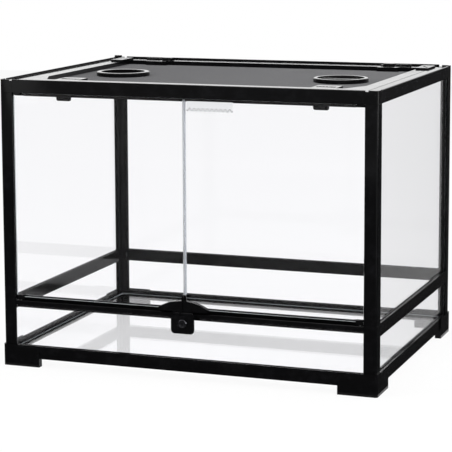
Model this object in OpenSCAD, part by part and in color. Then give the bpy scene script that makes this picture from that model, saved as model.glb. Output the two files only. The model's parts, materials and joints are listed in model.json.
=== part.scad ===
// Front-opening glass terrarium on a moulded frame, with a screen lid.
// Millimetres, Z up, X to the right, the doors face -Y. The origin is on the
// ground at the middle of the frame.

/* [Frame] */
// Width over the corner posts
frame_w = 600; // [520:10:760]
// Depth over the corner posts
frame_d = 450; // [400:10:560]
// Height from the ground to the top lip
frame_h = 448; // [400:2:620]
// Width of a post's leg, and of a rail seen from above
post_w = 20; // [19:0.5:22]
// Height of a rail's outer face
rail_h = 20; // [18:0.5:24]
// Wall of the posts and rails
wall = 2.8; // [2.2:0.1:3.2]
// Radius on the outer edge of a post
post_r = 3; // [1:0.5:4]
// Height of the seam between the lower and upper posts
seam_z = 104.5; // [98:0.5:140]

/* [Feet] */
// Ground clearance under the base rails
foot_gap = 13; // [8:1:20]
// Height of a corner foot
foot_h = 34; // [33.5:0.5:40]
// Length of a foot along each side
foot_len = 61; // [40:1:90]
// How far a foot stands out past the rails
foot_out = 2; // [1.5:0.5:4]
// Radius on the outer edge of a foot
foot_r = 4; // [2:0.5:5]
// Width of the block under the corner
foot_block_w = 34; // [24:1:40]
// Depth of a foot's leg along each side
foot_skirt = 10; // [4:0.5:14]

/* [Glass] */
// Thickness of the fixed panes and of the floor pane
glass_t = 5; // [4:0.5:5.5]
// Clearance on each side of a pane in its groove
glass_gap = 0.2; // [0.1:0.05:0.4]
// Depth that a pane goes into a rail
glass_in = 6; // [4:0.5:7]

/* [Doors] */
// Thickness of a door pane
door_t = 4; // [3:0.5:4.5]
// Distance of the hinge axis behind the front face
hinge_u = 5.5; // [5:0.25:6]
// Distance of the hinge axis from the post
hinge_x = 6.5; // [6.4:0.1:8]
// Gap between a door pane and its post
door_gap = 0.8; // [0.7:0.1:1.5]
// Gap between the two door panes
seam_gap = 2.2; // [2:0.2:4]
// Radius of a door hinge pin
pin_r = 1.5; // [1:0.1:1.8]
// Running clearance of a pin in its shoe or knuckle
pin_gap = 0.05; // [0.02:0.01:0.08]
// Width of both handle halves together
handle_w = 78; // [60:2:100]
// Height of the handle at the seam
handle_h = 16; // [12:0.5:22]
// Height of the handle at its ends
handle_end = 5.3; // [3:0.5:8]
// How far the handle stands out
handle_out = 8; // [5:0.5:9]
// Width of the fill-level strip
strip_w = 73; // [50:1:120]
// Height of the fill-level strip
strip_h = 15.2; // [10:0.2:20]
// Distance of the fill-level strip from the seam
strip_in = 5.5; // [4:0.5:20]

/* [Hasp] */
// Width of the hasp plate
hasp_w = 37; // [30:1:44]
// Length of the hasp plate below its pin
hasp_len = 31; // [26:1:36]
// Thickness of the hasp plate
hasp_t = 2.6; // [2:0.2:3]
// Radius of the hasp knuckles
knuckle_r = 2.3; // [2:0.1:2.4]
// Radius of the lock barrel
lock_r = 6; // [5:0.5:7]

/* [Lid] */
// Height of the lip that stands around the lid
lip_h = 1.8; // [1:0.2:3]
// Thickness of the lip
lip_t = 2; // [1.6:0.2:3]
// Extra height of the rear lip
rear_lip = 0.8; // [0:0.1:1.5]
// Fall of the side rims towards their lip
rim_fall = 1; // [0:0.1:1.2]
// Width of the lid frame's side and rear bars
lid_bar = 21; // [16:1:24]
// Width of the lid frame's front bar
front_bar = 17; // [14:1:22]
// Thickness of the lid frame
lid_t = 9; // [8:0.5:10]
// Gap between the lid and the frame around it
lid_gap = 0.8; // [0.6:0.1:1.5]
// Depth of the screen below the lid's top face
screen_drop = 7; // [5:0.5:7.5]
// Thickness of the screen's wires
wire_t = 1; // [0.8:0.1:1.4]
// Outer radius of a port ring
ring_r = 43; // [36:1:48]
// Width of a port ring, seen from above
ring_w = 8; // [6:0.5:10]
// Distance of a port's middle from the side
port_side = 117; // [114:1:150]
// Distance of the ports in front of the middle
port_y = 19; // [0:1:30]
// Distance of a lid lock's middle from the side
lock_side = 94; // [88:1:100]
// Travel of a lid lock
lock_travel = 8; // [5:0.5:8]
// Distance of a lock's grip behind the lid's front edge
grip_in = 32; // [30:1:33]
// Distance of a hinge clip's middle from the side
clip_side = 95; // [95:1:120]

/* [Cable inlets] */
// Distance of a cable slot's inner end from the side
slot_side = 86; // [70:1:86]
// Width of a cable slot in the rear rail
slot_w = 16; // [10:1:16]
// Depth of a cable slot
slot_d = 6; // [4:0.5:6]
// Length of the sliding cover
cover_w = 26; // [22:1:28]
// Height of the pads on the lid's rear corners
pad_h = 2.6; // [1:0.2:3]
// Length of a pad from front to back
pad_len = 49; // [30:1:70]

/* [Hidden] */
$fn = 48;

black = "#1b1b1d";
glass_tint = [0.80, 0.90, 0.90, 0.25];
eps = 0.01;

// Grooves: panes stand behind the outer wall, and the inner wall holds them
groove_in = wall + glass_t + 2 * glass_gap;
inner_t = 2;
bead_t = 1.6;
core = groove_in + inner_t;
pane_u = wall + glass_gap;
inner_leg = post_w - 3;
pane_side = core + 0.5;
half_w = frame_w / 2;
half_d = frame_d / 2;

// Heights
base_top = foot_gap + rail_h;
floor_web = foot_gap + 7;
floor_top = floor_web + 2;
web_t = 2;
pane_low_z = floor_web + web_t + 0.3;
mid_top = seam_z + 2;
mid_bottom = mid_top - rail_h;
mid_web = mid_bottom + 8.5;
mid_pane_top = mid_web - 0.3;
mid_pane_low = mid_web + 3 + 0.3;
top_face = frame_h - rail_h;
floor_z = frame_h - lip_h;
lid_bottom = floor_z - lid_t;
ledge_top = lid_bottom - 0.3;
ledge_t = 2;
ledge_w = 6;
ledge_end = 14;
pane_top = top_face + glass_in;
groove_top = pane_top + 0.3;

// Door sill
sill_lip = seam_z - 0.5;
sill_floor = sill_lip - 2.5;
sill_web = sill_floor - 3;
sill_face = sill_lip - 7;
stop_u = hinge_u + 4;
stop_t = 3;
stop_end = hinge_x + 9.5;
stop_z = sill_lip + 7;
stop_drop = 5.7;
stop_back = stop_u + 2.7;

// Doors; their top shoes turn inside the front rail's recess
recess_h = 3;
axis_x = half_w - post_w - hinge_x;
axis_y = -half_d + hinge_u;
door_y0 = axis_y - door_t / 2;
door_y1 = axis_y + door_t / 2;
door_z0 = sill_lip + 5.3;
door_z1 = top_face - 0.9;
shoe_w = 11.2;
shoe_h = 3.2;
shoe_wall = 1.6;
shoe_plate = 4.4;
top_barrel = 1.9;
door_edge = half_w - post_w - door_gap;

// Handle and hasp
handle_z0 = sill_lip + 2.8;
handle_gap = 0.4;
arc_rise = handle_h - handle_end;
arc_r = (handle_w * handle_w / 4 + arc_rise * arc_rise) / (2 * arc_rise);
hasp_y = door_y0 - handle_out - 0.4;
hasp_z = handle_z0 - knuckle_r - 0.5;
hasp_bore = 1.0;
lock_drop = 15.6;
plug_r = 4.4;

// Lid hinge and port heights
screen_z = floor_z - screen_drop;
rear_edge = half_d - post_w - 1;
lid_axis_y = half_d - post_w - 6;
lid_axis_z = floor_z - 2.2;
lid_pin_r = 1.5;
ear_r = 3;
clip_x = half_w - clip_side;
clip_w = 36;
clip_in = 10;
ear_t = 4;
land_w = 38;
land_out = 38;
gusset_x = 20;
gusset_y = 48;
lid_side = half_w - post_w - lid_gap;
lid_front = -half_d + post_w + lid_gap;
pad_y = rear_edge - 3 - pad_len;
slot_x = half_w - slot_side;
port_x = half_w - port_side;
lock_x = half_w - lock_side;
slot_u = groove_in + inner_t + 0.6;
cover_x = slot_x - 4;
cover_travel = slot_w + 1;

// A straight bar along X with the section (depth behind the outer face, height)
module bar(len) {
    translate([-len / 2, 0, 0]) rotate([90, 0, 90]) linear_extrude(height = len) children();
}

// Puts a bar that was drawn for the front on one of the four sides
module on_front() {
    translate([0, -half_d, 0]) children();
}
module on_rear() {
    rotate([0, 0, 180]) translate([0, -half_d, 0]) children();
}
module on_left() {
    rotate([0, 0, -90]) translate([0, -half_w, 0]) children();
}
module on_right() {
    rotate([0, 0, 90]) translate([0, -half_w, 0]) children();
}

// Puts a corner that was drawn with its outer corner at the origin, growing to +X and +Y
module at_corner(sx, sy) {
    mirror([sx > 0 ? 1 : 0, 0, 0]) mirror([0, sy > 0 ? 1 : 0, 0]) translate([-half_w, -half_d, 0]) children();
}

// Cuts the outer edge at the origin to a round
module edge_cut(r) {
    difference() {
        translate([-eps, -eps]) square(r + eps);
        translate([r, r]) circle(r);
    }
}

// Post section with a groove on both legs
module corner_section() {
    difference() {
        union() {
            square(core);
            square([post_w, wall]);
            square([wall, post_w]);
            translate([0, groove_in]) square([inner_leg, bead_t]);
            translate([groove_in, 0]) square([bead_t, inner_leg]);
        }
        edge_cut(post_r);
        translate([core - 5.2, core - 5.2]) circle(1.6);
    }
}

// Front post section: a groove on the side leg, a closed return beside the door
module front_section() {
    difference() {
        union() {
            square(core);
            square([post_w, wall]);
            square([wall, post_w]);
            translate([groove_in, 0]) square([inner_t, inner_leg]);
            translate([post_w - 2, 0]) square([2, 8.7]);
        }
        edge_cut(post_r);
        translate([core - 5.2, core - 5.2]) circle(1.6);
    }
}

// Base rail: the pane's groove opens upwards, the ledge carries the floor pane
module base_section() {
    difference() {
        translate([0, foot_gap]) square([core, rail_h]);
        translate([wall, floor_top]) square([groove_in - wall, rail_h]);
        translate([wall, foot_gap - eps]) square([groove_in - wall, floor_web - foot_gap + eps]);
    }
    translate([core - eps, floor_web]) square([post_w - core, web_t]);
}

// Middle rail: a groove up, a groove down and a web between them
module middle_section() {
    difference() {
        translate([0, mid_bottom]) square([core, rail_h]);
        translate([wall, mid_web + 3]) square([groove_in - wall, rail_h]);
        translate([wall, mid_bottom - eps]) square([groove_in - wall, mid_web - mid_bottom + eps]);
    }
}

// Sill: front lip, floor under the doors, rear part, and the groove of the lower pane
module sill_section() {
    difference() {
        union() {
            translate([0, sill_face]) square([wall, sill_lip - sill_face]);
            translate([0, sill_web]) square([post_w, sill_floor - sill_web]);
            translate([groove_in, sill_face - 5]) square([inner_t, sill_floor - sill_face + 5]);
            translate([post_w - 2, sill_web - 3]) square([2, 5]);
        }
        translate([-eps, sill_lip - 0.8]) polygon([[0, 0], [0.8, 0.8 + eps], [0, 0.8 + eps]]);
    }
    translate([hinge_u - 0.2, sill_floor - eps]) square([1.6, 0.9]);
}

// Top rail: lip, floor beside the lid, ledge under the lid, hollow core
module top_core(bottom) {
    difference() {
        union() {
            translate([0, bottom]) square([post_w, floor_z - bottom]);
            translate([0, floor_z - eps]) square([lip_t, lip_h + eps]);
        }
        translate([wall, groove_top + 2]) square([post_w - 2 * wall, floor_z - groove_top - 2 - wall]);
        translate([-eps, frame_h - 1]) polygon([[0, 0], [0, 1 + eps], [1, 1 + eps]]);
    }
}
module lid_ledge() {
    translate([post_w - eps, ledge_top - ledge_t]) square([ledge_w, ledge_t]);
}
module top_section() {
    difference() {
        top_core(top_face);
        translate([wall, top_face - eps]) square([groove_in - wall, groove_top - top_face + eps]);
        translate([core, top_face - eps]) square([post_w, groove_top - top_face + eps]);
    }
}
module top_front_section() {
    difference() {
        top_core(top_face);
        translate([stop_u + stop_t, top_face - eps]) square([post_w, groove_top - top_face + eps]);
        translate([wall, top_face - eps]) square([stop_u - wall, recess_h + eps]);
    }
}

module foot_block() {
    difference() {
        union() {
            translate([-foot_out, -foot_out, 0]) linear_extrude(height = foot_gap) foot_plan();
            translate([-foot_out, -foot_out, foot_gap - eps]) linear_extrude(height = foot_h - foot_gap + eps)
                foot_cover();
            translate([0, 0, foot_gap - eps]) linear_extrude(height = foot_h - foot_gap + eps) corner_section();
        }
        translate([foot_skirt, foot_skirt, -eps]) linear_extrude(height = 5) foot_pocket();
    }
}
module foot_plan() {
    difference() {
        union() {
            square([foot_len, foot_skirt]);
            square([foot_skirt, foot_len]);
            square(foot_block_w);
        }
        edge_cut(foot_r);
    }
}
module foot_cover() {
    difference() {
        union() {
            square([foot_len, foot_out]);
            square([foot_out, foot_len]);
            square([foot_out + 1, foot_out + 1]);
        }
        edge_cut(foot_r);
    }
}
module foot_pocket() {
    square([foot_block_w - foot_skirt - 9, 6]);
    square([6, foot_block_w - foot_skirt - 9]);
}

module foot_front_left() {
    color(black) at_corner(-1, -1) foot_block();
}
module foot_front_right() {
    color(black) at_corner(1, -1) foot_block();
}
module foot_rear_left() {
    color(black) at_corner(-1, 1) foot_block();
}
module foot_rear_right() {
    color(black) at_corner(1, 1) foot_block();
}

span_x = frame_w - 2 * post_w;
span_y = frame_d - 2 * post_w;

module base_rail_front() {
    color(black) on_front() bar(span_x) base_section();
}
module base_rail_rear() {
    color(black) on_rear() bar(span_x) base_section();
}
module base_rail_left() {
    color(black) on_left() bar(span_y) base_section();
}
module base_rail_right() {
    color(black) on_right() bar(span_y) base_section();
}
module floor_glass() {
    inset = core + 1;
    color(glass_tint) translate([-half_w + inset, -half_d + inset, floor_top])
        cube([frame_w - 2 * inset, frame_d - 2 * inset, glass_t]);
}

module lower_post() {
    translate([0, 0, foot_h]) linear_extrude(height = seam_z - foot_h) corner_section();
}
module lower_post_front_left() {
    color(black) at_corner(-1, -1) lower_post();
}
module lower_post_front_right() {
    color(black) at_corner(1, -1) lower_post();
}
module lower_post_rear_left() {
    color(black) at_corner(-1, 1) lower_post();
}
module lower_post_rear_right() {
    color(black) at_corner(1, 1) lower_post();
}

// A pane of the given length between two heights, behind the outer wall
module pane(len, z0, z1) {
    translate([-len / 2, pane_u, z0]) cube([len, glass_t, z1 - z0]);
}
pane_x = frame_w - 2 * pane_side;
pane_y = frame_d - 2 * pane_side;

module lower_glass_front() {
    color(glass_tint) on_front() pane(pane_x, pane_low_z, sill_web - 0.3);
}
module lower_glass_rear() {
    color(glass_tint) on_rear() pane(pane_x, pane_low_z, mid_pane_top);
}
module lower_glass_left() {
    color(glass_tint) on_left() pane(pane_y, pane_low_z, mid_pane_top);
}
module lower_glass_right() {
    color(glass_tint) on_right() pane(pane_y, pane_low_z, mid_pane_top);
}
module upper_glass_rear() {
    color(glass_tint) on_rear() pane(pane_x, mid_pane_low, pane_top);
}
module upper_glass_left() {
    color(glass_tint) on_left() pane(pane_y, mid_pane_low, pane_top);
}
module upper_glass_right() {
    color(glass_tint) on_right() pane(pane_y, mid_pane_low, pane_top);
}

module door_sill() {
    color(black) on_front() difference() {
        union() {
            bar(span_x) sill_section();
            bar(span_x - 2 * stop_end) translate([stop_u, sill_floor - eps])
                square([stop_t, stop_z - sill_floor + eps]);
            stop_ends() translate([stop_back, sill_floor - eps]) square([2, stop_z - sill_floor + eps]);
        }
        for (s = [-1, 1])
            translate([s * axis_x, hinge_u, sill_web - 1]) cylinder(r = pin_r + 0.02, h = 10);
    }
}
// Set-back ends of a door stop, clear of the panes' turning corners
module stop_ends() {
    for (s = [-1, 1])
        translate([s * (span_x - stop_end - 2) / 2, 0, 0]) bar(stop_end + 2) children();
}
module middle_rail_rear() {
    color(black) on_rear() bar(span_x) middle_section();
}
module middle_rail_left() {
    color(black) on_left() bar(span_y) middle_section();
}
module middle_rail_right() {
    color(black) on_right() bar(span_y) middle_section();
}

upper_len = top_face - seam_z;
module upper_post_front_left() {
    color(black) at_corner(-1, -1) translate([0, 0, seam_z]) linear_extrude(height = upper_len) front_section();
}
module upper_post_front_right() {
    color(black) at_corner(1, -1) translate([0, 0, seam_z]) linear_extrude(height = upper_len) front_section();
}
module upper_post_rear_left() {
    color(black) at_corner(-1, 1) translate([0, 0, seam_z]) linear_extrude(height = upper_len) corner_section();
}
module upper_post_rear_right() {
    color(black) at_corner(1, 1) translate([0, 0, seam_z]) linear_extrude(height = upper_len) corner_section();
}

module top_rail_front() {
    color(black) on_front() difference() {
        union() {
            bar(span_x) top_front_section();
            bar(span_x - 2 * stop_end) translate([stop_u, top_face - stop_drop])
                square([stop_t, stop_drop + recess_h + 1]);
            stop_ends() translate([stop_back, top_face - stop_drop])
                square([2, stop_drop + groove_top - top_face + 0.5]);
            bar(span_x - 2 * ledge_w) lid_ledge();
        }
        for (s = [-1, 1])
            translate([s * axis_x, hinge_u, top_face + recess_h - 1]) cylinder(r = pin_r + 0.02, h = 5);
    }
}
module top_rail_rear() {
    color(black) on_rear() difference() {
        union() {
            bar(span_x) top_section();
            bar(span_x) translate([0, frame_h - 2]) square([lip_t, 2 + rear_lip]);
        }
        for (s = [-1, 1])
            translate([s > 0 ? slot_x : -slot_x - slot_w, slot_u, top_face - 1]) cube([slot_w, slot_d, rail_h + 2]);
    }
}
module side_top_rail() {
    bar(span_y) difference() {
        top_section();
        translate([lip_t, floor_z]) polygon([[0, 1], [0, -rim_fall], [post_w - lip_t, 0], [post_w - lip_t, 1]]);
    }
    bar(span_y - 2 * ledge_end) lid_ledge();
}
module top_rail_left() {
    color(black) on_left() side_top_rail();
}
module top_rail_right() {
    color(black) on_right() side_top_rail();
}

// Lip of a corner piece, with a small notch before the rail's own lip starts
module corner_lip(lx, ly) {
    difference() {
        union() {
            square([lx, lip_t]);
            square([lip_t, ly]);
        }
        edge_cut(post_r);
    }
}
module top_corner_front() {
    translate([0, 0, top_face]) linear_extrude(height = groove_top - top_face + eps) front_section();
    translate([0, 0, groove_top]) linear_extrude(height = floor_z - groove_top) difference() {
        square(post_w);
        edge_cut(post_r);
    }
    translate([0, 0, floor_z - eps]) linear_extrude(height = lip_h + eps) corner_lip(post_w - 5, post_w - 5);
}
module top_corner_front_left() {
    color(black) at_corner(-1, -1) top_corner_front();
}
module top_corner_front_right() {
    color(black) at_corner(1, -1) top_corner_front();
}

module top_corner_rear() {
    translate([0, 0, top_face]) linear_extrude(height = groove_top - top_face + eps) corner_section();
    translate([0, 0, groove_top]) linear_extrude(height = floor_z - groove_top) difference() {
        square(post_w);
        edge_cut(post_r);
    }
    translate([0, 0, floor_z - eps]) linear_extrude(height = lip_h + eps) corner_lip(post_w - 5, post_w - 5);
}
module top_corner_rear_left() {
    color(black) at_corner(-1, 1) top_corner_rear();
    color(black) translate([-half_w + 0.5, half_d - 11, frame_h - 1 - eps]) cube([11, 7, 4]);
}
module top_corner_rear_right() {
    color(black) at_corner(1, 1) top_corner_rear();
}

// Sliding cover of a cable slot: a plate on the rim with a ribbed grip
module inlet_cover() {
    translate([cover_x, half_d - slot_u - slot_d - 1.4, floor_z + 0.3]) {
        cube([cover_w, slot_d + 3.4, 1.1]);
        for (i = [0 : 8])
            translate([0.8 + i * (cover_w - 2.8) / 8, 0.6, 1.1 - eps]) cube([1.2, slot_d + 2.2, 1.2]);
    }
}
module inlet_cover_left() {
    color(black) mirror([1, 0, 0]) inlet_cover();
}
module inlet_cover_right() {
    color(black) inlet_cover();
}

module door_hinge_pins() {
    low = sill_web + 0.5;
    color("silver") for (s = [-1, 1]) {
        translate([s * axis_x, axis_y, low]) cylinder(r = pin_r, h = door_z0 - 0.4 - low);
        translate([s * axis_x, axis_y, door_z1 + 0.4]) cylinder(r = pin_r, h = top_face + recess_h + 3 - door_z1);
    }
}

// Left door: the pane and its shoes; the right door mirrors them
module door_pane(inner) {
    translate([-door_edge, door_y0, door_z0]) cube([door_edge - inner, door_t, door_z1 - door_z0]);
}
module left_door_glass() {
    color(glass_tint) door_pane(seam_gap / 2 + 0.1);
}
module right_door_glass() {
    color(glass_tint) mirror([1, 0, 0]) door_pane(seam_gap / 2 - 0.1);
}
// A shoe: cheeks on both faces of the pane, a plate across its edge and a boss around the pin
module shoe(plate, barrel) {
    depth = door_t + 2 * shoe_wall;
    difference() {
        union() {
            translate([-door_edge + 0.7, axis_y - depth / 2, -plate]) cube([shoe_w, depth, shoe_h + plate]);
            translate([-axis_x, axis_y, -barrel]) cylinder(r = pin_r + 0.9, h = barrel);
        }
        translate([-door_edge - 1, door_y0, 0]) cube([shoe_w + 3, door_t, shoe_h + 1]);
        translate([-axis_x, axis_y, -barrel - 1]) cylinder(r = pin_r + pin_gap, h = barrel + 2);
    }
}
module hinge_shoes() {
    translate([0, 0, door_z0]) shoe(shoe_plate, shoe_plate);
    translate([0, 0, door_z1]) mirror([0, 0, 1]) shoe(0.6, top_barrel);
}
module left_hinge_shoes() {
    color(black) hinge_shoes();
}
module right_hinge_shoes() {
    color(black) mirror([1, 0, 0]) hinge_shoes();
}

// Left half of the arc handle: a shell with a finger hollow, and half of the seam strip's end cap
module handle_plan(inset) {
    intersection() {
        translate([-handle_w / 2 + inset, 0]) square([handle_w / 2 - inset - handle_gap, handle_h - inset]);
        translate([0, handle_h - arc_r]) circle(r = arc_r - inset, $fn = 180);
    }
}
module handle_half() {
    translate([0, door_y0, handle_z0]) rotate([90, 0, 0]) {
        difference() {
            linear_extrude(height = handle_out) handle_plan(0);
            translate([0, -3, 2.6]) linear_extrude(height = handle_out - 5.2) handle_plan(2.2);
        }
        linear_extrude(height = 3) polygon([[-handle_gap, handle_h - 2], [-4.2, handle_h - 2],
            [-3.2, handle_h + 8], [-handle_gap, handle_h + 8]]);
    }
}
module left_handle() {
    color(black) difference() {
        union() {
            handle_half();
            for (x = [-15.5, -4.6])
                translate([x, hasp_y, hasp_z]) hasp_lug();
        }
        translate([-20, hasp_y, hasp_z]) rotate([0, 90, 0]) cylinder(r = hasp_bore + 0.02, h = 20 - handle_gap + 1);
    }
}
// A lug that hangs the hasp's pin from the handle's foot
lug_w = 4;
module hasp_lug() {
    rotate([0, 90, 0]) cylinder(r = knuckle_r, h = lug_w);
    translate([0, -knuckle_r, 0]) cube([lug_w, 2 * knuckle_r, handle_z0 + 1 - hasp_z]);
}
module right_handle() {
    color(black) mirror([1, 0, 0]) handle_half();
}

module door_seal() {
    z0 = handle_z0 + handle_h + 8.3;
    z1 = door_z1 - 2;
    inner = seam_gap / 2 - 0.1;
    color([0.7, 0.7, 0.72, 0.6]) difference() {
        translate([-0.5, door_y0 - 0.5, z0]) cube([3.1, door_t + 1, z1 - z0]);
        translate([inner - 0.05, door_y0 - 0.05, z0 - 1]) cube([5, door_t + 0.1, z1 - z0 + 2]);
    }
}
module fill_line_strip() {
    color("white") translate([strip_in, door_y0 - 0.4, door_z1 - 3.3 - strip_h])
        cube([strip_w, 0.4, strip_h]);
}

// Hasp: a plate that hangs from the left handle's lugs and crosses the seam
module hasp_plate() {
    color(black) translate([0, hasp_y, hasp_z]) difference() {
        union() {
            rotate([90, 0, 0]) translate([0, 0, -hasp_t / 2]) linear_extrude(height = hasp_t) hasp_outline();
            for (k = [[-11.2, 6.2], [-0.3, hasp_w / 2 - 2]])
                translate([k[0], 0, 0]) rotate([0, 90, 0]) cylinder(r = knuckle_r, h = k[1]);
        }
        for (x = [-15.8, -4.9])
            translate([x, -5, -knuckle_r - 0.4]) cube([lug_w + 0.6, 10, 10]);
        translate([-hasp_w, 0, 0]) rotate([0, 90, 0]) cylinder(r = hasp_bore + pin_gap, h = 2 * hasp_w);
        translate([0, 5, -lock_drop]) rotate([90, 0, 0]) cylinder(r = lock_r + 0.02, h = 10);
    }
}
module hasp_outline() {
    r = 6;
    translate([-hasp_w / 2, -hasp_len + r]) square([hasp_w, hasp_len - r]);
    translate([-hasp_w / 2 + r, -hasp_len]) square([hasp_w - 2 * r, hasp_len]);
    for (s = [-1, 1])
        translate([s * (hasp_w / 2 - r), -hasp_len + r]) circle(r);
}
module hasp_pin() {
    color("silver") translate([-15.5, hasp_y, hasp_z]) rotate([0, 90, 0])
        cylinder(r = hasp_bore, h = hasp_w / 2 + 13);
}
module lock_barrel() {
    color("#2a2a2c") translate([0, hasp_y, hasp_z - lock_drop]) rotate([90, 0, 0]) difference() {
        union() {
            translate([0, 0, -3.2]) cylinder(r = lock_r, h = 5.2);
            translate([0, 0, hasp_t / 2]) cylinder(r1 = lock_r + 0.8, r2 = lock_r + 0.2, h = 1);
        }
        translate([0, 0, -4]) cylinder(r = plug_r + pin_gap, h = 10);
    }
}
module lock_plug() {
    color("silver") translate([0, hasp_y, hasp_z - lock_drop]) rotate([90, 0, 0]) difference() {
        union() {
            translate([0, 0, -3.4]) cylinder(r = plug_r, h = 5.1);
            translate([0, 0, -5.2]) linear_extrude(height = 1.8) cam_outline();
        }
        translate([-2.6, -0.5, 0.4]) cube([5.2, 1, 4]);
        translate([0, 0, 0.4]) cylinder(r = 1.1, h = 4);
    }
}
module cam_outline() {
    circle(4);
    translate([0, -2.5]) square([4.6, 5]);
    translate([4.6, 0]) circle(2.5);
}

// Lid frame: bars around the screen, lands for the locks, blocks for the hinge clips, rear corner pads
module lid_opening(lap) {
    open_x = lid_side - lid_bar + lap;
    open_y = lid_front + front_bar - lap;
    rear_y = rear_edge - lid_bar + lap;
    difference() {
        translate([-open_x, open_y]) square([2 * open_x, rear_y - open_y]);
        for (s = [-1, 1]) {
            translate([s * lock_x - land_w / 2 + lap, open_y - 1]) square([land_w - 2 * lap, land_out + 1]);
            translate([s * clip_x - clip_w / 2 + lap, rear_y - clip_in]) square([clip_w - 2 * lap, clip_in + 1]);
            polygon([[s * (open_x + 1), open_y - 1], [s * (open_x - gusset_x), open_y - 1],
                [s * (open_x - gusset_x), open_y], [s * open_x, open_y + gusset_y - 2 * lap],
                [s * (open_x + 1), open_y + gusset_y - 2 * lap]]);
        }
    }
}
module lid_frame() {
    color(black) difference() {
        union() {
            translate([0, 0, lid_bottom]) linear_extrude(height = lid_t) difference() {
                translate([-lid_side, lid_front]) square([2 * lid_side, rear_edge - lid_front]);
                lid_opening(0);
            }
            for (s = [-1, 1])
                translate([s > 0 ? lid_side - lid_bar : -lid_side, pad_y, floor_z - eps])
                    cube([lid_bar, pad_len, pad_h + eps]);
        }
        // Rebate that takes the screen from below
        translate([0, 0, lid_bottom - eps]) linear_extrude(height = screen_z - lid_bottom + eps)
            lid_opening(screen_lap);
        for (s = [-1, 1]) {
            // Window of the lock's grip
            translate([s * lock_x - grip_w / 2 - 1 - lock_travel / 2, grip_y - 6, lid_bottom - 1])
                cube([grip_w + 2 + lock_travel, 12, lid_t + 2]);
            translate([s * clip_x, lid_axis_y, lid_axis_z]) clip_clearance();
            // Mark on the pad
            translate([s * (lid_side - lid_bar / 2), rear_edge - 30, floor_z + pad_h - 1]) rotate([0, 0, s * 25])
                translate([-1.5, -pad_len / 3, 0]) cube([3, 2 * pad_len / 3, 2]);
        }
    }
}
// Clearance for a hinge clip's ears, and the pin's bore
module clip_clearance() {
    for (e = [-1, 1])
        translate([e * (clip_w - ear_t) / 2 - ear_t / 2 - 0.4, -ear_r - 1, -lid_t]) cube([ear_t + 0.8, 20, 2 * lid_t]);
    translate([-clip_w / 2 - 1, 0, 0]) rotate([0, 90, 0]) cylinder(r = lid_pin_r + pin_gap, h = clip_w + 2);
}
screen_lap = 3;
// Flat net of the screen, drawn with wide gaps
net_nx = 18;
net_ny = 13;
module lid_screen() {
    open_x = lid_side - lid_bar + screen_lap - 0.2;
    low_y = lid_front + front_bar - screen_lap + 0.2;
    high_y = rear_edge - lid_bar + screen_lap - 0.2;
    px = (2 * open_x - 4) / net_nx;
    py = (high_y - low_y - 4) / net_ny;
    color("#6a6a6c") translate([0, 0, screen_z - wire_t]) linear_extrude(height = wire_t) difference() {
        lid_opening(screen_lap - 0.2);
        translate([port_x, -port_y]) circle(r = ring_r - ring_w - 0.5, $fn = 96);
        for (i = [0 : net_nx - 1])
            for (j = [0 : net_ny - 1])
                net_gap(-open_x + 2 + px * (i + 0.5), low_y + 2 + py * (j + 0.5), px - 2 * wire_t, py - 2 * wire_t);
    }
}
// One gap of the net; those that reach a land, a clip block or a gusset stay filled
module net_gap(x, y, w, d) {
    ax = abs(x);
    by_land = y - d / 2 < lid_front + front_bar + land_out && abs(ax - lock_x) < land_w / 2 + w / 2;
    by_clip = y + d / 2 > rear_edge - lid_bar - clip_in && abs(ax - clip_x) < clip_w / 2 + w / 2;
    by_gusset = y - d / 2 < lid_front + front_bar + gusset_y && ax + w / 2 > lid_side - lid_bar - gusset_x;
    if (!by_land && !by_clip && !by_gusset)
        translate([x - w / 2, y - d / 2]) square([w, d]);
}

// Port rings stand on the screen
module ring(with_seat) {
    rotate_extrude($fn = 96) {
        difference() {
            translate([ring_r - ring_w, 0]) square([ring_w, ring_top]);
            translate([ring_r, ring_top]) circle(r = 1.2, $fn = 4);
            if (with_seat) translate([ring_r - ring_w - 1, 1.4]) square([2.5, 20]);
        }
        if (with_seat) translate([ring_r - ring_w - 3, 0]) square([3.1, 1.4]);
    }
}
ring_top = 6.6;
module port_ring_left() {
    color(black) translate([-port_x, -port_y, screen_z]) ring(false);
}
module port_ring_right() {
    color(black) translate([port_x, -port_y, screen_z]) ring(true);
}
module port_cap() {
    cap_r = ring_r - ring_w + 1.5 - 0.3;
    color("#232326") translate([port_x, -port_y, screen_z + 1.7]) difference() {
        union() {
            cylinder(r = cap_r, h = 2.4, $fn = 96);
            cylinder(r = cap_r - 3, h = 3.2, $fn = 96);
        }
        translate([0, 0, 1.4]) difference() {
            cylinder(r = cap_r - 5, h = 3, $fn = 96);
            translate([-cap_r, -2, -1]) cube([2 * cap_r, 4, 5]);
        }
    }
}

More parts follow.
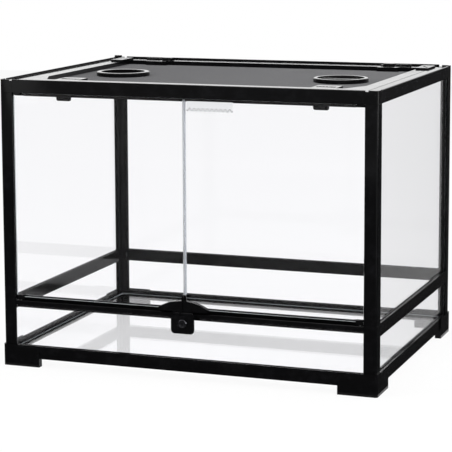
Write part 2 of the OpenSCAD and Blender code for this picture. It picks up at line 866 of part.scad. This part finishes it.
// Lid lock: a grip in the lid's window, a slide plate below it, and a tongue behind the front rail
lock_y = -half_d + post_w + ledge_w + 3;
grip_y = lid_front + grip_in;
grip_w = 20;
tongue_w = 24;
module lid_lock() {
    translate([-(grip_w + lock_travel) / 2, grip_y - 5, lid_bottom - 1]) cube([grip_w, 10, lid_t + 1 - 0.6]);
    for (i = [0 : 3])
        translate([2 - (grip_w + lock_travel) / 2 + i * 5, grip_y - 4, floor_z - 0.6 - eps]) cube([1.6, 8, 1]);
    translate([-tongue_w / 2, lock_y - 1.4, lid_bottom - 2.3])
        cube([tongue_w + 1, grip_y + 6 - lock_y, 2]);
    translate([0, lock_y, 0]) tongue();
}
module tongue() {
    low = top_face - 13.5;
    top = lid_bottom - 0.3;
    r = 3;
    translate([0, 1.4, 0]) rotate([90, 0, 0]) linear_extrude(height = 2.8) {
        translate([-tongue_w / 2, low + r]) square([tongue_w, top - low - r]);
        translate([-tongue_w / 2 + r, low]) square([tongue_w - 2 * r, top - low]);
        for (s = [-1, 1])
            translate([s * (tongue_w / 2 - r), low + r]) circle(r);
    }
}
module lid_lock_left() {
    color(black) mirror([1, 0, 0]) translate([lock_x, 0, 0]) lid_lock();
}
module lid_lock_right() {
    color(black) translate([lock_x, 0, 0]) lid_lock();
}

// Hinge clips on the rear rail: a foot with a raised tab, and two ears around the pin
module lid_hinge_clips() {
    foot_w = cover_x - 1 - clip_x + clip_w / 2;
    color(black) for (s = [-1, 1])
        translate([s * clip_x, 0, 0]) difference() {
            union() {
                translate([-clip_w / 2, half_d - post_w - eps, floor_z]) cube([clip_w, 1.5, 1.4]);
                mirror([s < 0 ? 1 : 0, 0, 0]) {
                    translate([-clip_w / 2, half_d - post_w, floor_z]) cube([foot_w, post_w - lip_t - 0.5, 1.4]);
                    translate([-clip_w / 2 + 2, half_d - post_w + 2, floor_z + 1.4 - eps]) cube([foot_w - 4, 13, 1.8]);
                }
                for (e = [-1, 1])
                    translate([e * (clip_w / 2 - ear_t / 2) - ear_t / 2, 0, 0]) hinge_ear();
            }
            translate([-clip_w, lid_axis_y, lid_axis_z]) rotate([0, 90, 0])
                cylinder(r = lid_pin_r + 0.02, h = 2 * clip_w);
        }
}
module hinge_ear() {
    translate([0, lid_axis_y, lid_axis_z]) rotate([0, 90, 0]) cylinder(r = ear_r, h = ear_t);
    translate([0, lid_axis_y, lid_axis_z - ear_r]) cube([ear_t, half_d - post_w - lid_axis_y, ear_r + 2.2 + 1.6]);
}
module lid_hinge_pins() {
    color("silver") for (s = [-1, 1])
        translate([s * clip_x - clip_w / 2, lid_axis_y, lid_axis_z]) rotate([0, 90, 0])
            cylinder(r = lid_pin_r, h = clip_w);
}

foot_front_left();
foot_front_right();
foot_rear_left();
foot_rear_right();
base_rail_front();
base_rail_rear();
base_rail_left();
base_rail_right();
floor_glass();
lower_post_front_left();
lower_post_front_right();
lower_post_rear_left();
lower_post_rear_right();
lower_glass_front();
lower_glass_rear();
lower_glass_left();
lower_glass_right();
door_sill();
middle_rail_rear();
middle_rail_left();
middle_rail_right();
upper_post_front_left();
upper_post_front_right();
upper_post_rear_left();
upper_post_rear_right();
upper_glass_rear();
upper_glass_left();
upper_glass_right();
top_rail_front();
top_rail_rear();
top_rail_left();
top_rail_right();
top_corner_front_left();
top_corner_front_right();
top_corner_rear_left();
top_corner_rear_right();
inlet_cover_left();
inlet_cover_right();
door_hinge_pins();
lid_hinge_clips();
lid_hinge_pins();
left_door_glass();
right_door_glass();
left_hinge_shoes();
right_hinge_shoes();
left_handle();
right_handle();
door_seal();
fill_line_strip();
hasp_plate();
hasp_pin();
lock_barrel();
lock_plug();
lid_frame();
lid_screen();
port_ring_left();
port_ring_right();
port_cap();
lid_lock_left();
lid_lock_right();
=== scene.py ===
# Glass terrarium: finishes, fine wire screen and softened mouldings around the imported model
import json
import math

import bmesh
import bpy
from mathutils import Matrix, Vector


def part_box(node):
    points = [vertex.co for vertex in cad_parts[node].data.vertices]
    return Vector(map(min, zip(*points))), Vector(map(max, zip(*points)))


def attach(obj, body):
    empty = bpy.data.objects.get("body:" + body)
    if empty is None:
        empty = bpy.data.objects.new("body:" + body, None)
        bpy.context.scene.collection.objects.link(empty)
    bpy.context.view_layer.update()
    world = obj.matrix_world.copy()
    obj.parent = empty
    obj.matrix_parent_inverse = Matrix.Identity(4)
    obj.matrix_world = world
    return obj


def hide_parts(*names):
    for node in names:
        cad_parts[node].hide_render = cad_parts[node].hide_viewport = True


mm = 0.001
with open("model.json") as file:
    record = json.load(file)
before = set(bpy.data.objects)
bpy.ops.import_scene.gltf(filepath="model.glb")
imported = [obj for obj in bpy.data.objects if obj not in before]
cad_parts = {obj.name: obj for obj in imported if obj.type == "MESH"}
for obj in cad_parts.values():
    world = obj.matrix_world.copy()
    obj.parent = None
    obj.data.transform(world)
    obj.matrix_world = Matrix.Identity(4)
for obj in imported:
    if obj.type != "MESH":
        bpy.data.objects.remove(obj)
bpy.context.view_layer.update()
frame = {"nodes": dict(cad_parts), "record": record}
nodes = frame["nodes"]
bodies = frame["record"]["behaviour"]["bodies"]
slotOf = {s["node"]: s["material_slot"] for s in frame["record"]["subparts"]}
bodyOf = {name: body for body, names in bodies.items() for name in names}
print("frame loaded:", len(nodes), "nodes")


# sRGB hex to linear colour
def linear(hexCode):
    parts = [int(hexCode[i:i + 2], 16) / 255 for i in (1, 3, 5)]
    return [c / 12.92 if c <= 0.04045 else ((c + 0.055) / 1.055) ** 2.4 for c in parts] + [1.0]


def addNode(tree, kind, settings=None, **inputs):
    node = tree.nodes.new(kind)
    for name, value in (settings or {}).items():
        setattr(node, name, value)
    for name, value in inputs.items():
        key = int(name[2:]) if name.startswith("in") and name[2:].isdigit() else name.replace("_", " ")
        if isinstance(value, bpy.types.NodeSocket):
            tree.links.new(value, node.inputs[key])
        else:
            node.inputs[key].default_value = value
    return node


def newMaterial(name):
    material = bpy.data.materials.new(name)
    material.use_nodes = True
    tree = material.node_tree
    tree.nodes.clear()
    return material, tree


# Carbon-black ABS, injection moulded in a polished tool: a dark skin that mirrors at grazing angles
plasticLook = {
    "colour": "#09090a",
    "dust": "#151517",        # fine dust and handling marks lift the black a little
    "ior": 1.19,              # below the 1.5 of ABS: matched to how little the rails mirror a white room
    "dustSize": 18 * mm,
    "roughness": 0.09,
    "roughnessSpread": 0.025,
    "grainSize": 1.6 * mm,    # skin texture, drawn coarser than the real 0.3 mm so that it shows
    "grainHeight": 0.0025 * mm,
    "flowSize": 70 * mm,      # slow ripple of the melt along a rail
    "flowHeight": 0.008 * mm,
}
glossLook = {**plasticLook, "roughness": 0.07, "roughnessSpread": 0.02, "grainHeight": 0.0015 * mm}


def mouldedAbs(name, look):
    material, tree = newMaterial(name)
    place = addNode(tree, "ShaderNodeTexCoord").outputs["Object"]
    grain = addNode(tree, "ShaderNodeTexNoise", Vector=place, Scale=1 / look["grainSize"], Detail=2.0)
    flow = addNode(tree, "ShaderNodeTexNoise", Vector=place, Scale=1 / look["flowSize"], Detail=2.0)
    dust = addNode(tree, "ShaderNodeTexNoise", Vector=place, Scale=1 / look["dustSize"], Detail=6.0,
                   Roughness=0.7)
    dusty = addNode(tree, "ShaderNodeMapRange", Value=dust.outputs["Fac"], From_Min=0.5, From_Max=0.8)
    colour = addNode(tree, "ShaderNodeMix", {"data_type": "RGBA"}, Factor=dusty.outputs["Result"],
                     in6=linear(look["colour"]), in7=linear(look["dust"]))
    rough = addNode(tree, "ShaderNodeMapRange", Value=dust.outputs["Fac"], From_Min=0.3, From_Max=0.7,
                    To_Min=look["roughness"] - look["roughnessSpread"],
                    To_Max=look["roughness"] + look["roughnessSpread"])
    ripple = addNode(tree, "ShaderNodeBump", Height=flow.outputs["Fac"], Strength=1.0,
                     Distance=look["flowHeight"])
    bump = addNode(tree, "ShaderNodeBump", Height=grain.outputs["Fac"], Strength=1.0,
                   Distance=look["grainHeight"], Normal=ripple.outputs["Normal"])
    shader = addNode(tree, "ShaderNodeBsdfPrincipled", Base_Color=colour.outputs[2], IOR=look["ior"],
                     Roughness=rough.outputs["Result"], Normal=bump.outputs["Normal"])
    addNode(tree, "ShaderNodeOutputMaterial", Surface=shader.outputs["BSDF"])
    return material


# Soda-lime float glass, fire-polished: clear and mirror-smooth, with ground grey-green edges
glassLook = {
    "colour": "#fdfdfe",
    "ior": 1.2,               # below the 1.52 of float glass, matched in the same way as the rails
    "smear": 0.02,            # roughness where a cloth has left the surface dull
    "smearSize": 50 * mm,
}
edgeLook = {"colour": "#9aa1a2", "roughness": 0.42, "ior": 1.5, "seeThrough": 0.35,
            "grain": 0.5 * mm, "grainHeight": 0.03 * mm, "grainStrength": 0.5}


def floatGlass(name, look):
    material, tree = newMaterial(name)
    place = addNode(tree, "ShaderNodeTexCoord").outputs["Object"]
    wiped = addNode(tree, "ShaderNodeTexNoise", Vector=place, Scale=1 / look["smearSize"], Detail=5.0,
                    Roughness=0.6)
    smear = addNode(tree, "ShaderNodeMapRange", Value=wiped.outputs["Fac"], From_Min=0.6, From_Max=0.85,
                    To_Max=look["smear"])
    shader = addNode(tree, "ShaderNodeBsdfPrincipled", Base_Color=linear(look["colour"]),
                     IOR=look["ior"], Roughness=smear.outputs["Result"], Transmission_Weight=1.0)
    clear = addNode(tree, "ShaderNodeBsdfTransparent", Color=linear(look["colour"]))
    path = addNode(tree, "ShaderNodeLightPath")
    both = addNode(tree, "ShaderNodeMixShader", in0=path.outputs["Is Shadow Ray"],
                   in1=shader.outputs["BSDF"], in2=clear.outputs["BSDF"])
    addNode(tree, "ShaderNodeOutputMaterial", Surface=both.outputs["Shader"])
    return material


def groundEdge(name, look):
    material, tree = newMaterial(name)
    place = addNode(tree, "ShaderNodeTexCoord").outputs["Object"]
    grit = addNode(tree, "ShaderNodeTexNoise", Vector=place, Scale=1 / look["grain"], Detail=3.0)
    bump = addNode(tree, "ShaderNodeBump", Height=grit.outputs["Fac"], Strength=look["grainStrength"],
                   Distance=look["grainHeight"])
    shader = addNode(tree, "ShaderNodeBsdfPrincipled", Base_Color=linear(look["colour"]), IOR=look["ior"],
                     Roughness=look["roughness"], Transmission_Weight=look["seeThrough"],
                     Normal=bump.outputs["Normal"])
    addNode(tree, "ShaderNodeOutputMaterial", Surface=shader.outputs["BSDF"])
    return material


# Steel wire dipped in epoxy: dark, satin
wireLook = {"colour": "#4f4f51", "roughness": 0.38}
# Stainless steel pins, centreless ground
steelLook = {"colour": "#b9babc", "roughness": 0.28}
# Zinc lock barrel with a black electroplated face
zincLook = {"colour": "#4c4c50", "roughness": 0.24}
# Extruded soft vinyl: milky, lets light through; the IOR given with it is below the real 1.5,
# matched to how pale the seam looks
vinylLook = {"colour": "#dcdfe4", "roughness": 0.2}
# Polyester film, printed on the back: pale and satin
filmLook = {
    "colour": "#dfe0e2",
    "ink": "#1c1e20",
    "roughness": 0.3,
    "ior": 1.57,
    "waveDrop": 12.3 * mm,    # from the strip's top to the zigzag's peaks
    "waveRise": 2.3 * mm,
    "wavePeriod": 7.0 * mm,   # a little coarser than the real 6.5 mm so that it shows
    "line": 0.7 * mm,
}


def plainShader(name, look, **inputs):
    material, tree = newMaterial(name)
    shader = addNode(tree, "ShaderNodeBsdfPrincipled", Base_Color=linear(look["colour"]),
                     Roughness=look["roughness"], **inputs)
    addNode(tree, "ShaderNodeOutputMaterial", Surface=shader.outputs["BSDF"])
    return material


# A plain zigzag fill line, printed across the strip near its lower edge
def printedFilm(name, look, top):
    material, tree = newMaterial(name)
    place = addNode(tree, "ShaderNodeTexCoord").outputs["Object"]
    place = addNode(tree, "ShaderNodeSeparateXYZ", Vector=place)
    slope = 4 * look["waveRise"] / look["wavePeriod"]
    found = {"x": place.outputs["X"], "z": place.outputs["Z"]}
    steps = (
        ("wave", "PINGPONG", "x", look["wavePeriod"] / 2),
        ("wave", "MULTIPLY", "wave", slope),
        ("wave", "ADD", "wave", top - look["waveDrop"] - look["waveRise"]),
        ("away", "SUBTRACT", "z", "wave"),
        ("away", "ABSOLUTE", "away", 0.0),
        ("inked", "LESS_THAN", "away", look["line"] / 2 * math.hypot(1, slope)),
    )
    for result, operation, a, b in steps:
        found[result] = addNode(tree, "ShaderNodeMath", {"operation": operation},
                                in0=found.get(a, a), in1=found.get(b, b)).outputs[0]
    colour = addNode(tree, "ShaderNodeMix", {"data_type": "RGBA"}, Factor=found["inked"],
                     in6=linear(look["colour"]), in7=linear(look["ink"]))
    shader = addNode(tree, "ShaderNodeBsdfPrincipled", Base_Color=colour.outputs[2], IOR=look["ior"],
                     Roughness=look["roughness"])
    addNode(tree, "ShaderNodeOutputMaterial", Surface=shader.outputs["BSDF"])
    return material


finish = {
    "black_frame": mouldedAbs("moulded black ABS", plasticLook),
    "clear_glass": floatGlass("float glass", glassLook),
    "steel_pins": plainShader("ground stainless steel", steelLook, Metallic=1.0),
    "lock_metal": plainShader("black-plated zinc", zincLook, Metallic=1.0),
    "screen_wire": plainShader("epoxy-coated steel wire", wireLook, IOR=1.55),
    "seal_strip": plainShader("soft vinyl", vinylLook, IOR=1.3, Transmission_Weight=0.8),
    "pale_film": printedFilm("printed polyester film", filmLook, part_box("fill_line_strip")[1][2]),
}
for name, node in nodes.items():
    node.data.materials.clear()
    node.data.materials.append(finish[slotOf[name]])
glossy = mouldedAbs("polished black ABS", glossLook)
print("finishes assigned")


# Mouldings get the small edge radii that a tool leaves
edges = {
    "radius": 0.4 * mm,
    "segments": 2,
    "sharpFrom": 28,          # degrees between faces from which an edge is rounded
    "weld": 0.002 * mm,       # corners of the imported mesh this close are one
    "flatWithin": 0.5,        # degrees within which faces are one flat face
}


def soften(name, radius):
    solid = nodes[name].data.copy()
    mesh = bmesh.new()
    mesh.from_mesh(solid)
    bmesh.ops.remove_doubles(mesh, verts=mesh.verts, dist=edges["weld"])
    bmesh.ops.dissolve_limit(mesh, angle_limit=math.radians(edges["flatWithin"]), verts=mesh.verts,
                             edges=mesh.edges)
    bmesh.ops.recalc_face_normals(mesh, faces=mesh.faces)
    mesh.to_mesh(solid)
    mesh.free()
    for layer in ("custom_normal", "sharp_face", "sharp_edge"):    # would bend the light on flat rails
        if layer in solid.attributes:
            solid.attributes.remove(solid.attributes[layer])
    piece = bpy.data.objects.new(name + "_soft", solid)
    bpy.context.scene.collection.objects.link(piece)
    bevel = piece.modifiers.new("edge radius", "BEVEL")
    bevel.width = radius
    bevel.segments = edges["segments"]
    bevel.limit_method = "ANGLE"
    bevel.angle_limit = math.radians(edges["sharpFrom"])
    bevel.use_clamp_overlap = True
    bevel.harden_normals = True
    for face in solid.polygons:
        face.use_smooth = True
    evaluated = piece.evaluated_get(bpy.context.evaluated_depsgraph_get())
    done = bpy.data.meshes.new_from_object(evaluated)
    piece.modifiers.clear()
    piece.data = done
    piece.name = name + "_moulding"
    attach(piece, bodyOf[name])
    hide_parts(name)
    return piece


# What a hand touches is polished brighter than the frame
softened = [name for name in nodes if slotOf[name] in ("black_frame", "lock_metal")]
for name in softened:
    if name.startswith(("port_", "left_handle", "right_handle", "hasp")):
        nodes[name].data.materials[0] = glossy
for name in softened:
    soften(name, edges["radius"])
print("edges softened on", len(softened), "mouldings")


# Panes: polished faces, and edges that are ground and slightly eased
pane = {
    "arris": 0.4 * mm,
    "faceFrom": 0.9,          # a face whose normal has this much of the thin direction is polished
}
edgeFinish = groundEdge("ground glass edge", edgeLook)


def dressPane(name):
    piece = soften(name, pane["arris"])
    mesh = piece.data
    low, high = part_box(name)
    thin = min(range(3), key=lambda axis: high[axis] - low[axis])
    mesh.materials.clear()
    mesh.materials.append(finish["clear_glass"])
    mesh.materials.append(edgeFinish)
    for face in mesh.polygons:
        face.material_index = 0 if abs(face.normal[thin]) > pane["faceFrom"] else 1
        face.use_smooth = False


panes = [name for name in nodes if slotOf[name] == "clear_glass"]
for name in panes:
    dressPane(name)
print("edges ground on", len(panes), "panes")


# Screen of fine crossed wires, held under the lid frame's opening; millimetres until the end
screen = {
    "spacing": 1.45,          # between wires, drawn coarser than the real weave so that it shows
    "wire": 0.36,             # diameter over the coating
    "step": 1.2,              # how finely a wire may be cut at a land or a hole
    "landX": 206.0, "landHalf": 16.2, "landRear": -152.0,    # lands of the lid locks
    "clipX": 205.0, "clipHalf": 15.2, "clipFront": 175.8,    # blocks of the hinge clips
    "gussetFrom": 241.0, "gussetRun": 20.0, "gussetRise": 42.4,    # slanted front corners
    "holeX": 183.0, "holeY": -19.0, "holeRadius": 34.5,      # hole under the capped port
}


def wireTree(look, material):
    tree = bpy.data.node_groups.new("wire screen", "GeometryNodeTree")
    sizes = ("Half width", "Front", "Rear", "Top", "Spacing", "Wire", "Step")
    for name in sizes:
        tree.interface.new_socket(name, in_out="INPUT", socket_type="NodeSocketFloat")
    tree.interface.new_socket("Screen", in_out="OUTPUT", socket_type="NodeSocketGeometry")
    given = tree.nodes.new("NodeGroupInput").outputs
    place = addNode(tree, "GeometryNodeInputPosition").outputs[0]
    place = addNode(tree, "ShaderNodeSeparateXYZ", Vector=place).outputs
    flat = addNode(tree, "ShaderNodeCombineXYZ", X=place["X"], Y=place["Y"]).outputs[0]
    away = addNode(tree, "ShaderNodeVectorMath", {"operation": "DISTANCE"}, in0=flat,
                   in1=(look["holeX"], look["holeY"], 0)).outputs["Value"]

    found = {name: given[name] for name in sizes}
    found.update(x=place["X"], y=place["Y"], away=away)
    steps = (
        ("side", "ABSOLUTE", "x", 0.0),
        # In a land of the lid locks
        ("fromLand", "SUBTRACT", "side", look["landX"]),
        ("fromLand", "ABSOLUTE", "fromLand", 0.0),
        ("besideLand", "LESS_THAN", "fromLand", look["landHalf"]),
        ("beforeLand", "LESS_THAN", "y", look["landRear"]),
        ("byLand", "MULTIPLY", "besideLand", "beforeLand"),
        # In a block of the hinge clips
        ("fromClip", "SUBTRACT", "side", look["clipX"]),
        ("fromClip", "ABSOLUTE", "fromClip", 0.0),
        ("besideClip", "LESS_THAN", "fromClip", look["clipHalf"]),
        ("behindClip", "GREATER_THAN", "y", look["clipFront"]),
        ("byClip", "MULTIPLY", "besideClip", "behindClip"),
        # In a slanted front corner
        ("rise", "SUBTRACT", "y", "Front"),
        ("rise", "DIVIDE", "rise", look["gussetRise"]),
        ("run", "SUBTRACT", "side", look["gussetFrom"]),
        ("run", "DIVIDE", "run", look["gussetRun"]),
        ("slant", "MAXIMUM", "rise", 0.0),
        ("pastSlant", "GREATER_THAN", "run", "slant"),
        ("besideSlant", "LESS_THAN", "rise", 1.0),
        ("byGusset", "MULTIPLY", "pastSlant", "besideSlant"),
        # In the port's hole, or in any of these
        ("byHole", "LESS_THAN", "away", look["holeRadius"]),
        ("blocked", "MAXIMUM", "byLand", "byClip"),
        ("blocked", "MAXIMUM", "blocked", "byGusset"),
        ("blocked", "MAXIMUM", "blocked", "byHole"),
        # Extent of the weave, and the counts and heights of its two layers
        ("start", "MULTIPLY", "Half width", -1.0),
        ("width", "MULTIPLY", "Half width", 2.0),
        ("depth", "SUBTRACT", "Rear", "Front"),
        ("acrossRows", "DIVIDE", "depth", "Spacing"),
        ("acrossCuts", "DIVIDE", "width", "Step"),
        ("backRows", "DIVIDE", "width", "Spacing"),
        ("backCuts", "DIVIDE", "depth", "Step"),
        *((count, "FLOOR", count, 0.0) for count in ("acrossRows", "acrossCuts", "backRows", "backCuts")),
        *((count, "ADD", count, 1.0) for count in ("acrossRows", "acrossCuts", "backRows", "backCuts")),
        ("acrossHeight", "MULTIPLY", "Wire", 0.5),
        ("acrossHeight", "SUBTRACT", "Top", "acrossHeight"),
        ("backHeight", "MULTIPLY", "Wire", 1.5),
        ("backHeight", "SUBTRACT", "Top", "backHeight"),
        ("wireRadius", "DIVIDE", "Wire", 2.0),
    )
    for result, operation, a, b in steps:
        found[result] = addNode(tree, "ShaderNodeMath", {"operation": operation},
                                in0=found.get(a, a), in1=found.get(b, b)).outputs[0]

    joined = addNode(tree, "GeometryNodeJoinGeometry")
    for layer, along, over in (("across", "X", "Y"), ("back", "Y", "X")):
        corner = addNode(tree, "ShaderNodeCombineXYZ", X=found["start"], Y=found["Front"],
                         Z=found[layer + "Height"]).outputs[0]
        nextRow = addNode(tree, "ShaderNodeCombineXYZ", **{over: found["Spacing"]}).outputs[0]
        nextCut = addNode(tree, "ShaderNodeCombineXYZ", **{along: found["Step"]}).outputs[0]
        rows = addNode(tree, "GeometryNodeMeshLine", {"mode": "OFFSET"}, Count=found[layer + "Rows"],
                       Start_Location=corner, Offset=nextRow)
        strand = addNode(tree, "GeometryNodeMeshLine", {"mode": "OFFSET"}, Count=found[layer + "Cuts"],
                         Offset=nextCut)
        laid = addNode(tree, "GeometryNodeInstanceOnPoints", Points=rows.outputs[0],
                       Instance=strand.outputs[0])
        real = addNode(tree, "GeometryNodeRealizeInstances", Geometry=laid.outputs[0])
        cut = addNode(tree, "GeometryNodeDeleteGeometry", {"domain": "POINT"}, Geometry=real.outputs[0],
                      Selection=found["blocked"])
        lines = addNode(tree, "GeometryNodeMeshToCurve", Mesh=cut.outputs[0])
        straight = addNode(tree, "GeometryNodeResampleCurve", Curve=lines.outputs[0], Count=2)
        tree.links.new(straight.outputs[0], joined.inputs[0])
    profile = addNode(tree, "GeometryNodeCurvePrimitiveCircle", {"mode": "RADIUS"}, Resolution=4,
                      Radius=found["wireRadius"])
    solid = addNode(tree, "GeometryNodeCurveToMesh", Curve=joined.outputs[0],
                    Profile_Curve=profile.outputs[0], Fill_Caps=True)
    small = addNode(tree, "GeometryNodeTransform", Geometry=solid.outputs[0], Scale=(mm, mm, mm))
    smooth = addNode(tree, "GeometryNodeSetShadeSmooth", Geometry=small.outputs[0], Shade_Smooth=True)
    real = addNode(tree, "GeometryNodeRealizeInstances", Geometry=smooth.outputs[0])
    dressed = addNode(tree, "GeometryNodeSetMaterial", Geometry=real.outputs[0], Material=material)
    addNode(tree, "NodeGroupOutput", in0=dressed.outputs[0])
    return tree


def grownPiece(name, tree, sizes):
    piece = bpy.data.objects.new(name, bpy.data.meshes.new(name))
    bpy.context.scene.collection.objects.link(piece)
    grower = piece.modifiers.new("grow", "NODES")
    grower.node_group = tree
    for socket in tree.interface.items_tree:
        if socket.in_out == "INPUT" and socket.name in sizes:
            grower[socket.identifier] = sizes[socket.name]
    evaluated = piece.evaluated_get(bpy.context.evaluated_depsgraph_get())
    done = bpy.data.meshes.new_from_object(evaluated)
    piece.modifiers.clear()
    piece.data = done
    return piece


def wireScreen(look):
    low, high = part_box("lid_screen")
    sizes = {"Half width": high[0] / mm, "Front": low[1] / mm, "Rear": high[1] / mm,
             "Top": high[2] / mm, "Spacing": look["spacing"], "Wire": look["wire"], "Step": look["step"]}
    piece = grownPiece("wire_screen", wireTree(look, finish["screen_wire"]), sizes)
    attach(piece, bodyOf["lid_screen"])
    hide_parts("lid_screen")
    print("screen woven:", len(piece.data.polygons), "faces")


wireScreen(screen)


# Camera at the photograph's angle; angles in degrees, sensor and lens in millimetres
camera = {
    "place": (0.9885, -2.7368, 0.7076),
    "turn": 20.095,
    "down": 7.848,
    "roll": -0.224,
    "sensor": 36,
    "lens": 146.102,
    "shift": (-0.0013, -0.146),    # sideways, so that the top left corner stays in the picture, and down
    "farthest": 60,
}
eye = bpy.data.objects.new("camera", bpy.data.cameras.new("camera"))
bpy.context.scene.collection.objects.link(eye)
eye.data.sensor_width = camera["sensor"]
eye.data.lens = camera["lens"]
eye.data.shift_x, eye.data.shift_y = camera["shift"]
eye.data.clip_end = camera["farthest"]
eye.matrix_world = (Matrix.Translation(camera["place"])
                    @ Matrix.Rotation(math.radians(camera["turn"]), 4, "Z")
                    @ Matrix.Rotation(math.radians(90 - camera["down"]), 4, "X")
                    @ Matrix.Rotation(math.radians(camera["roll"]), 4, "Z"))
bpy.context.scene.camera = eye
print("camera placed")

# Pale floor that keeps a soft shadow, on a white background
studio = {
    "floorSize": 9.0,
    "floorColour": "#f4f4f4",
    "floorShade": 0.09,       # share of the floor's own shading that is seen over the white
    "world": 0.42,            # strength of the light from all round
}


def seenDirectly(tree):
    path = addNode(tree, "ShaderNodeLightPath")
    seen = addNode(tree, "ShaderNodeMath", {"operation": "MAXIMUM"}, in0=path.outputs["Is Camera Ray"],
                   in1=path.outputs["Is Transmission Ray"])
    seen = addNode(tree, "ShaderNodeMath", {"operation": "MAXIMUM"}, in0=seen.outputs[0],
                   in1=path.outputs["Is Glossy Ray"])
    return seen.outputs[0]


def paleFloor():
    bpy.ops.mesh.primitive_plane_add(size=studio["floorSize"], location=(0, 0, 0))
    floor = bpy.context.object
    floor.name = "floor"
    material, tree = newMaterial("pale floor")
    lit = addNode(tree, "ShaderNodeBsdfDiffuse", Color=linear(studio["floorColour"]))
    white = addNode(tree, "ShaderNodeEmission", Color=(1, 1, 1, 1), Strength=1.0)
    share = addNode(tree, "ShaderNodeMath", {"operation": "MULTIPLY"}, in0=seenDirectly(tree),
                    in1=1 - studio["floorShade"])
    both = addNode(tree, "ShaderNodeMixShader", in0=share.outputs[0], in1=lit.outputs["BSDF"],
                   in2=white.outputs["Emission"])
    addNode(tree, "ShaderNodeOutputMaterial", Surface=both.outputs["Shader"])
    floor.data.materials.append(material)


def whiteWorld():
    world = bpy.data.worlds.new("studio")
    world.use_nodes = True
    tree = world.node_tree
    tree.nodes.clear()
    strength = addNode(tree, "ShaderNodeMix", {"data_type": "FLOAT"}, Factor=seenDirectly(tree),
                       in2=studio["world"], in3=1.0)
    sky = addNode(tree, "ShaderNodeBackground", Color=(1, 1, 1, 1), Strength=strength.outputs["Result"])
    addNode(tree, "ShaderNodeOutputWorld", Surface=sky.outputs["Background"])
    bpy.context.scene.world = world


# Cards that only reflections see, for the darker and the bright parts of a room:
# place, the point faced, width, height and brightness
cards = {
    "low_rear": ((-0.9, 4.1, 0.34), (-0.9, 0, 0.34), 7.0, 0.83, 0.0),
    "right_rear": ((1.7, 3.4, 0.45), (0.9, 0, 0.45), 2.6, 1.1, 0.05),
    "right_floor": ((1.653, 1.5, 0.003), (1.653, 1.5, 1), 2.7, 4.2, 0.03),
    "left_front": ((-1.3, -2.3, 0.25), (-0.3, 0, 0.25), 3.2, 0.7, 0.45),
    "top_left": ((-1.65, -2.25, 0.31), (-1.65, 0, 0.31), 0.85, 0.28, 2.4),
    "front_floor": ((-0.8, -1.279, 0.003), (-0.8, -1.279, 1), 3.0, 2.1, 0.1),
}


def addCard(name, place, target, width, height, brightness):
    bpy.ops.mesh.primitive_plane_add(size=1)
    card = bpy.context.object
    card.name = name + "_card"
    turn = (Vector(target) - Vector(place)).to_track_quat("Z", "Y").to_matrix().to_4x4()
    card.data.transform(Matrix.Translation(place) @ turn @ Matrix.Diagonal((width, height, 1, 1)))
    material, tree = newMaterial(name + " card")
    glow = addNode(tree, "ShaderNodeEmission", Color=(1, 1, 1, 1), Strength=brightness)
    addNode(tree, "ShaderNodeOutputMaterial", Surface=glow.outputs["Emission"])
    card.data.materials.append(material)
    card.visible_camera = card.visible_diffuse = card.visible_transmission = card.visible_shadow = False


# Each lamp: place, point it looks at, width, height, power
lamps = {
    "key": ((2.4, -2.0, 2.2), (0, 0, 0.25), 1.4, 1.4, 55),
    "fill": ((-2.6, -2.2, 1.8), (0, 0, 0.25), 1.8, 1.4, 35),
    "top": ((0.0, 0.0, 3.2), (0, 0, 0.3), 2.0, 2.0, 45),
    "rear": ((-0.9, 4.2, 1.6), (-0.9, 0, 1.6), 6.0, 1.7, 19),
    "edge": ((3.0, -0.5, 0.6), (0.3, -0.25, 0.3), 0.8, 1.2, 40),
}


def addLamp(name, place, target, width, height, power):
    data = bpy.data.lights.new(name, "AREA")
    data.shape = "RECTANGLE"
    data.size, data.size_y = width, height
    data.energy = power
    lamp = bpy.data.objects.new(name, data)
    lamp.location = place
    lamp.rotation_euler = (Vector(target) - Vector(place)).to_track_quat("-Z", "Y").to_euler()
    lamp.visible_camera = lamp.visible_transmission = False
    bpy.context.scene.collection.objects.link(lamp)


paleFloor()
whiteWorld()
for name, card in cards.items():
    addCard(name, *card)
for name, lamp in lamps.items():
    addLamp(name, *lamp)
bpy.context.scene.view_settings.view_transform = "Standard"
print("studio ready")
